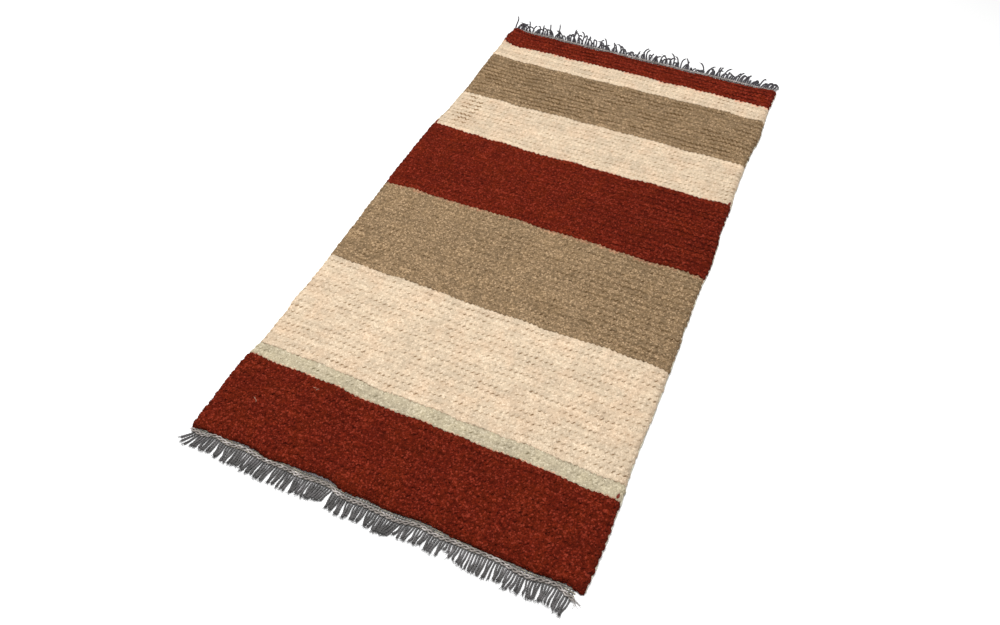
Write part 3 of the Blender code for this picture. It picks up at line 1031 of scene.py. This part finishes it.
def short_line(across, along, up, length, turn, rng):
    """A short bent line lying on the pile, thick in its middle."""
    line = []
    bend = rng.uniform(-0.4, 0.4)
    for step in range(7):
        part = step / 3.0 - 1.0
        x = across + 0.5 * length * part * math.cos(turn + bend * part)
        y = along + 0.5 * length * part * math.sin(turn + bend * part)
        line.append((place(x, y, up), 1.05 - 0.85 * part * part))
    return line


# The thickness of a wisp and of a nub, and how round they are
WISP_WIDTH = 1.5
NUB_WIDTH = 6.5
FLATNESS = 0.9


class RUG_OT_mark_pile(bpy.types.Operator):
    """Adds the pale wisps in the pile and the nubs at its sides"""

    bl_idname = "rug.mark_pile"
    bl_label = "Mark Pile"

    def execute(self, context):
        pile = context.scene.rug.pile
        rng = random.Random(pile.seed)
        up = pile.height / MM
        wisps = [short_line(x, y, up + 0.6, 7.0, turn, rng) for x, y, turn in WISPS]
        nubs = [short_line(x, y, up - 2.2, 15.0, 1.4, rng) for x, y in NUBS]
        wisp = yarn("pile_wool_wisp", linear("C9A58C"), linear("B58A72"), 2, 0.1)
        nub = yarn("pile_wool_nub", linear("6A1C0E"), linear("7B2A14"), 3, 0.2)
        for name, lines, width, finish in (
            ("wisps", wisps, WISP_WIDTH, wisp), ("nubs", nubs, NUB_WIDTH, nub),
        ):
            spin(lines, f"pile_{name}", "wool_pile", "rug", finish, width=width * MM,
                 thickness=FLATNESS * width * MM, twist=5.0 * MM, spacing=1.2 * MM, sides=6)
        return {"FINISHED"}


# The ground and its edges

GROUND_TOP = 2.6
GROUND_INSET = 2.0
BACK_GROOVE = 0.9
BACK_KNOT = 0.15
BAND_COLOURS = ("rust", "sage", "cream", "khaki")


def ground_mesh(columns):
    """The ground as a closed body: a grid of the knots' backs below, and a coarser one on top."""
    lines, colours = [0.0], []
    for colour, length, rows in BANDS:
        for half in range(2 * rows):
            lines.append(lines[-1] + length / rows / 2)
            colours.append(colour)

    def grid_point(column, line, up):
        along = lines[line]
        first, last = left_edge(along) + GROUND_INSET, right_edge(along) - GROUND_INSET
        across = mix(first, last, column / columns)
        return place(across, along + row_shift(across, along), up)

    last, width, coarse = len(lines) - 1, columns + 1, columns // 2 + 1
    points = []
    for line in range(last + 1):
        for column in range(width):
            # Each knot shows as a low bump between two grooves, except at the rim
            inside = 0 < line < last and 0 < column < columns
            bump = (column % 2 + line % 2) * 0.5 if inside else 0.0
            points.append(grid_point(column, line, mix(BACK_GROOVE, BACK_KNOT, bump)))
    first_top = len(points)
    points += [
        grid_point(column, line, GROUND_TOP)
        for line in range(0, last + 1, 2) for column in range(0, width, 2)
    ]
    faces = [
        (a, a + width, a + width + 1, a + 1)
        for line in range(last) for a in range(line * width, line * width + columns)
    ]
    finishes = [1 + BAND_COLOURS.index(colour) for colour in colours for column in range(columns)]
    for line in range(last // 2):
        for a in range(first_top + line * coarse, first_top + (line + 1) * coarse - 1):
            faces.append((a, a + 1, a + coarse + 1, a + coarse))
    for column in range(coarse - 1):
        near, far = first_top + column, first_top + (last // 2) * coarse + column
        below, above = 2 * column, last * width + 2 * column
        faces.append((below, below + 1, below + 2, near + 1, near))
        faces.append((far, far + 1, above + 2, above + 1, above))
    for line in range(last // 2):
        left, right = first_top + line * coarse, first_top + (line + 1) * coarse - 1
        outer = 2 * line * width
        inner = outer + columns
        faces.append((outer, left, left + coarse, outer + 2 * width, outer + width))
        faces.append((inner, inner + width, inner + 2 * width, right + coarse, right))
    finishes += [0] * (len(faces) - len(finishes))
    mesh = bpy.data.meshes.new("ground")
    mesh.from_pydata(points, [], faces)
    mesh.polygons.foreach_set("material_index", finishes)
    mesh.shade_smooth()
    return mesh


class RUG_OT_weave_ground(bpy.types.Operator):
    """Weaves the ground that carries the knots, with their backs on its underside"""

    bl_idname = "rug.weave_ground"
    bl_label = "Weave Ground"

    def execute(self, context):
        rug = context.scene.rug
        mesh = ground_mesh(2 * rug.pile.knots)
        for finish in (ground_weave(rug.colours.warp), *map(wool_for, BAND_COLOURS)):
            mesh.materials.append(finish)
        ground = fasten(show("ground", mesh), "warp_cotton", "rug")
        return {"FINISHED"}


# The overcast side cords: steps along the rug, how far inwards their middle lies, and its height
SIDE_STEPS = 442
SIDE_MIDDLE = 0.7
SIDE_UP = 3.2


class RUG_OT_overcast_sides(bpy.types.Operator):
    """Winds the yarn that overcasts both sides of the rug"""

    bl_idname = "rug.overcast_sides"
    bl_label = "Overcast Sides"

    def execute(self, context):
        rug = context.scene.rug
        finish = yarn("selvedge_wool_overcast", rug.colours.selvedge, linear("DAD4BE"), 3, 0.2)
        for name, edge, side in (("left", left_edge, 1.0), ("right", right_edge, -1.0)):
            line = []
            for step in range(SIDE_STEPS + 1):
                along = RUG_LENGTH * step / SIDE_STEPS
                across = edge(along) + side * SIDE_MIDDLE
                wobble = 0.4 * math.sin(along / 9.0) + 0.3 * math.sin(along / 3.7)
                spot = place(across + side * wobble, along + row_shift(across, along), SIDE_UP)
                line.append((spot, 1.0 + 0.12 * math.sin(along * 1.9) * math.sin(along / 11.0)))
            spin([line], f"selvedge_{name}", "twining_cord", "rug", finish,
                 width=rug.yarn.selvedge, thickness=0.72 * rug.yarn.selvedge, twist=7.0 * MM,
                 spacing=1.4 * MM, sides=8)
        return {"FINISHED"}


# Headings, cords and fringes

HEADING_ROWS = 4
WARP_PITCH = 4.8
# How much higher each end's heading and cord lie than the near ones
LIFT = {"near": 0.0, "far": 5.0}
# Where the headings start and end across, the height of their first row and their rise
HEADING_START = 5.0
HEADING_ENDS = {"near": 682.0, "far": 695.0}
HEADING_UP = 1.75
HEADING_RISE = 1.8
# Where the cords start and end across, and the height of their middle
CORD_START = 4.5
CORD_ENDS = {"near": 683.0, "far": 695.0}
CORD_UP = 4.75
# How far a cord's strands swing from its middle, along the rug and upwards
CORD_SWING = (2.25, 0.95)


def strip_sides(end, across):
    """Where the strip between the pile and a cord's outer side starts and ends."""
    if end == "near":
        return row_shift(across, 0.0), near_cord_line(across) - CORD_HALF
    return RUG_LENGTH, far_cord_line(across) + CORD_HALF


def heading_lines(end, rng):
    """Weft rows that fill the strip of one end."""
    lines = []
    first, last = HEADING_START, HEADING_ENDS[end]
    for row in range(HEADING_ROWS):
        share = (row + 0.6) / (HEADING_ROWS + 0.2)
        up = (HEADING_RISE + LIFT[end]) * share ** 2
        line = []
        steps = int((last - first) / 1.6)
        drift = rng.uniform(0.0, math.tau)
        for step in range(steps + 1):
            across = mix(first, last, step / steps)
            along = mix(*strip_sides(end, across), share)
            along += 0.35 * math.sin(across / 17.0 + drift)
            lift = 0.55 * math.cos(math.pi * across / WARP_PITCH + math.pi * row)
            line.append((place(across, along, HEADING_UP + lift + up), 1.0))
        lines.append(line)
    return lines


class RUG_OT_weave_headings(bpy.types.Operator):
    """Weaves the narrow weft headings between the pile and the twined cords"""

    bl_idname = "rug.weave_headings"
    bl_label = "Weave Headings"

    def execute(self, context):
        rug = context.scene.rug
        weft = rug.yarn.weft
        finish = yarn("heading_wool_weft", rug.colours.weft, linear("8B8577"), 4, 0.25)
        for end in ("near", "far"):
            spin(heading_lines(end, random.Random(5)), f"heading_{end}", "warp_cotton",
                 f"{end}_fringe", finish, width=weft, thickness=0.8 * weft, twist=6.0 * MM,
                 spacing=1.6 * MM, sides=6)
        return {"FINISHED"}


def cord_lines(middle, last, up, link):
    """The two strands of a twined cord, which cross once in every link."""
    lines = []
    steps = int((last - CORD_START) / 1.25)
    aside, above = CORD_SWING
    for strand in range(2):
        line = []
        for step in range(steps + 1):
            across = mix(CORD_START, last, step / steps)
            phase = math.pi * ((across - CORD_START) / link + strand)
            along = middle(across) + aside * math.sin(phase)
            line.append((place(across, along, up + above * math.cos(phase)), 1.0))
        lines.append(line)
    return lines


# Frayed threads that leave a cord: its line, the place across, height, how many, their way, reach
FRAYED = (
    (near_cord_line, 683.0, 4.4, 7, -0.35, 15.0),
    (near_cord_line, 7.0, 4.2, 4, math.pi, 12.0),
    (far_cord_line, 694.0, 4.4 + LIFT["far"], 3, 0.4, 9.0),
)
THREAD_STEPS = 8
# How high the threads' ends lie
THREAD_END = 1.2


def loose_threads(rng, middle, across, up, count, towards, reach):
    """A few frayed threads that leave a cord's end."""
    lines = []
    for thread in range(count):
        way = towards + rng.uniform(-0.8, 0.8)
        bend = rng.uniform(-0.9, 0.9)
        far = reach * rng.uniform(0.6, 1.0)
        x, y = across + rng.uniform(-1.0, 1.0), middle(across) + rng.uniform(-2.0, 2.0)
        line = []
        for step in range(THREAD_STEPS + 1):
            share = step / THREAD_STEPS
            angle = way + bend * share
            line.append((place(x, y, mix(up, THREAD_END, share ** 0.5)), 1.0 - 0.5 * share))
            x += far / THREAD_STEPS * math.cos(angle)
            y += far / THREAD_STEPS * math.sin(angle)
        lines.append(line)
    return lines


class RUG_OT_twine_cords(bpy.types.Operator):
    """Twines the two cords that lock the headings, with their frayed ends"""

    bl_idname = "rug.twine_cords"
    bl_label = "Twine Cords"

    def execute(self, context):
        rug = context.scene.rug
        rng = random.Random(11)
        ply = rug.yarn.cord_ply
        finish = yarn("cord_cotton_twined", rug.colours.cord, linear("9A928C"), 4, 0.2)
        for end, middle in (("near", near_cord_line), ("far", far_cord_line)):
            up, link = CORD_UP + LIFT[end], rug.yarn.cord_link / MM
            spin(cord_lines(middle, CORD_ENDS[end], up, link), f"cord_{end}", "twining_cord",
                 f"{end}_twining", finish, width=ply, thickness=0.8 * ply, twist=9.0 * MM,
                 spacing=1.25 * MM, sides=8)
        threads = [line for row in FRAYED for line in loose_threads(rng, *row)]
        spin(threads, "cord_threads", "twining_cord", "near_twining", finish, width=0.9 * MM,
             thickness=0.7 * MM, twist=4.0 * MM, spacing=1.0 * MM, sides=5)
        return {"FINISHED"}


# The floor holds a strand's middle at least this high, for a stoutness of one
LYING = 1.65
# No strand's middle stands higher than this
HIGHEST = 39.0
NEAR_STEPS = 10
FAR_STEPS = 16
# A far strand's first pitch is no steeper than this
STEEPEST = 1.45


def near_strands(rng):
    """The near fringe's strands, which lie on the floor and cling together at their tips."""
    strands, number = [], 0
    for count, first_lean, last_lean, first_reach, last_reach in NEAR_TUFTS:
        clump = rng.uniform(-0.12, 0.06)
        for i in range(count):
            share = i / max(count - 1, 1)
            root = NEAR_FIRST_ROOT + number * NEAR_ROOT_PITCH
            lean = mix(first_lean, last_lean, share)
            lean -= clump * (i - 0.5 * (count - 1)) * min(1.0, 4.0 / count) * NEAR_ROOT_PITCH
            lean += rng.uniform(-1.6, 1.6)
            inner, start = strip_sides("near", root)
            tip = -mix(first_reach, last_reach, share) + rng.uniform(-1.5, 1.5)
            curl, bend = rng.uniform(0.6, 2.6), rng.uniform(0.0, math.tau)
            girth = rng.uniform(0.95, 1.4)
            line = [(place(root, inner, LYING), 0.85), (place(root, start, 2.0), 1.2)]
            for step in range(1, NEAR_STEPS + 1):
                part = step / NEAR_STEPS
                x = root + lean * part ** LEAN_POWER
                x += curl * part ** 2 * (math.sin(5.0 * part + bend) - math.sin(bend))
                stout = girth + 0.35 * part ** 3
                up = LYING * stout + 0.9 * part * abs(math.sin(2.5 * part + bend))
                line.append((place(x, mix(start, tip, part), up), stout))
            strands.append(line)
            number += 1
    return strands


def far_strands(rng):
    """The far fringe's strands, which rise stiffly from the heading and arch over."""
    strands, number = [], 0
    for count, first_lean, last_lean, run, rise in FAR_TUFTS:
        sway = rng.uniform(-0.9, 0.9)
        for i in range(count):
            lean = mix(first_lean, last_lean, i / max(count - 1, 1))
            root = FAR_FIRST_ROOT + number * FAR_ROOT_PITCH
            high = rise * RISE_TURNS[number % len(RISE_TURNS)]
            climb = math.atan2(high, run)
            calm = min(1.0, max(0.0, (root - FAR_CALM[0]) / (FAR_CALM[1] - FAR_CALM[0])))
            loose = mix(1.0, 0.3, calm)
            heading = math.atan2(lean, run) + rng.uniform(-0.7, 0.7) * loose
            turn = sway * loose + rng.uniform(-1.5, 1.5) * loose + 0.5 * calm
            first, last = climb + rng.uniform(0.1, 0.5), climb - rng.uniform(0.4, 2.6)
            stride = 1.06 * math.hypot(run, high) * rng.uniform(0.85, 1.1) / FAR_STEPS
            inner, outer = strip_sides("far", root)
            x, y, z = root, outer, LYING + LIFT["far"]
            line = [(place(root, inner, LYING), 0.85), (place(x, y, z), 0.95)]
            for step in range(FAR_STEPS):
                part = (step + 0.5) / FAR_STEPS
                pitch = mix(min(first, STEEPEST), last, part ** 1.5)
                way = heading + turn * part * part
                x += stride * math.cos(pitch) * math.sin(way)
                y += stride * math.cos(pitch) * math.cos(way)
                stout = 1.5 - 0.2 * part
                z = min(max(z + stride * math.sin(pitch), LYING * stout), HIGHEST)
                line.append((place(x, y, z), stout))
            strands.append(line)
            number += 1
    return strands


FIBRES = 7
FIBRE_STEPS = 3
# How far back in the strand a fibre starts, and the lowest that it lies, in mm
FIBRE_START = 1.5
FIBRE_FLOOR = 0.6


def frayed_tips(strands, rng):
    """A few loose fibres beyond each strand's tip."""
    fibres = []
    for line in strands:
        before, tip = Vector(line[-2][0]), Vector(line[-1][0])
        way = (tip - before).normalized()
        for fibre in range(FIBRES):
            aside = Vector([rng.uniform(*span) for span in ((-1.7, 1.7), (-0.6, 0.6), (-0.5, 0.7))])
            reach = rng.uniform(3.0, 7.0) * MM
            spots = []
            for step in range(FIBRE_STEPS + 1):
                share = step / FIBRE_STEPS
                spot = tip - way * FIBRE_START * MM + way * reach * share
                spot += aside * (reach * 0.42 * share ** 1.5)
                spot.z = max(spot.z, FIBRE_FLOOR * MM)
                spots.append((tuple(spot), 1.0 - 0.6 * share))
            fibres.append(spots)
    return fibres


# The near fringe darkens between these two places along the rug
NEAR_DARKENS = (NEAR_Y - 6.0 * MM, NEAR_Y - 42.0 * MM)


class RUG_OT_cut_fringes(bpy.types.Operator):
    """Cuts the warp ends of both fringes, with their frayed tips"""

    bl_idname = "rug.cut_fringes"
    bl_label = "Cut Fringes"

    def execute(self, context):
        size, colours = context.scene.rug.yarn, context.scene.rug.colours
        rng = random.Random(23)
        near = yarn("near_fringe_warp", colours.warp, linear("555352"), 2, 0.35, NEAR_DARKENS)
        far = yarn("far_fringe_warp", colours.far_warp, linear("4A474B"), 2, 0.3)
        for end, strands, finish in (
            ("near", near_strands(rng), near), ("far", far_strands(rng), far),
        ):
            spin(strands, f"fringe_{end}", "warp_cotton", f"{end}_fringe", finish,
                 width=size.warp_width, thickness=size.warp_thick, twist=size.warp_twist,
                 spacing=1.2 * MM, sides=6)
            spin(frayed_tips(strands, rng), f"fringe_{end}_tips", "warp_cotton", f"{end}_fringe",
                 finish, width=0.9 * MM, thickness=0.9 * MM, twist=1.0, spacing=1.8 * MM, sides=3)
        return {"FINISHED"}


# The stage

FLOOR_SPAN = 9.0
LOOK_AT = (368.55, 431.55)
# The key light's place and the length of its side, in metres
KEY_SPOT = (-0.35, -0.1, 2.8)
KEY_SIDE = 1.35
SENSOR_WIDTH = 36.0


def aimed(data, spot, way):
    """A light or a camera at a spot, looking one way."""
    aimed_object = bpy.data.objects.new(data.name, data)
    aimed_object.location = spot
    aimed_object.rotation_mode = "QUATERNION"
    aimed_object.rotation_quaternion = way.to_track_quat("-Z", "Y")
    bpy.context.scene.collection.objects.link(aimed_object)
    return aimed_object


class RUG_OT_set_stage(bpy.types.Operator):
    """Sets the pale floor, the soft light and the camera"""

    bl_idname = "rug.set_stage"
    bl_label = "Set Stage"

    def execute(self, context):
        rug, stage = context.scene.rug, context.scene.rug.stage
        half = FLOOR_SPAN / 2
        mesh = bpy.data.meshes.new("floor")
        corners = [(-half, -half, 0.0), (half, -half, 0.0), (half, half, 0.0), (-half, half, 0.0)]
        mesh.from_pydata(corners, [], [(0, 1, 2, 3)])
        mesh.materials.append(studio_floor(rug.colours.floor))
        show("floor", mesh)

        world = bpy.data.worlds.new("soft_studio")
        world.use_nodes = True
        sky = world.node_tree.nodes["Background"]
        sky.inputs["Color"].default_value = (1.0, 1.0, 1.0, 1.0)
        sky.inputs["Strength"].default_value = stage.sky
        context.scene.world = world

        lamp = bpy.data.lights.new("key_light", "AREA")
        lamp.shape = "SQUARE"
        lamp.size = KEY_SIDE
        lamp.energy = stage.key
        aimed(lamp, KEY_SPOT, -Vector(KEY_SPOT))

        a, e = stage.azimuth, stage.elevation
        back = Vector((math.sin(a) * math.cos(e), -math.cos(a) * math.cos(e), math.sin(e)))
        camera = bpy.data.cameras.new("camera")
        camera.lens = stage.lens
        camera.sensor_width = SENSOR_WIDTH
        spot = Vector(place(*LOOK_AT, 0.0)) + back * stage.distance
        context.scene.camera = aimed(camera, spot, -back)
        context.scene.view_settings.view_transform = "Standard"
        return {"FINISHED"}


OPERATORS = (
    RUG_OT_knot_pile,
    RUG_OT_mark_pile,
    RUG_OT_overcast_sides,
    RUG_OT_weave_headings,
    RUG_OT_twine_cords,
    RUG_OT_cut_fringes,
    RUG_OT_weave_ground,
    RUG_OT_set_stage,
)


class RUG_PT_panel(bpy.types.Panel):
    """The rug's sizes, colours and steps"""

    bl_idname = "RUG_PT_panel"
    bl_label = "Striped Rug"
    bl_space_type = "VIEW_3D"
    bl_region_type = "UI"
    bl_category = "Rug"

    def draw(self, context):
        layout = self.layout
        rug = context.scene.rug
        for group in (rug.pile, rug.yarn, rug.colours, rug.stage):
            box = layout.box()
            for name in group.__annotations__:
                box.prop(group, name)
        for operator in OPERATORS:
            layout.operator(operator.bl_idname)


CLASSES = (RugPile, RugYarn, RugColours, RugStage, RugSettings, *OPERATORS, RUG_PT_panel)


def register():
    for made in CLASSES:
        bpy.utils.register_class(made)
    bpy.types.Scene.rug = bpy.props.PointerProperty(type=RugSettings)


def unregister():
    del bpy.types.Scene.rug
    for made in reversed(CLASSES):
        bpy.utils.unregister_class(made)


def main():
    register()
    for operator in OPERATORS:
        group, name = operator.bl_idname.split(".")
        getattr(getattr(bpy.ops, group), name)()


if __name__ == "__main__":
    main()
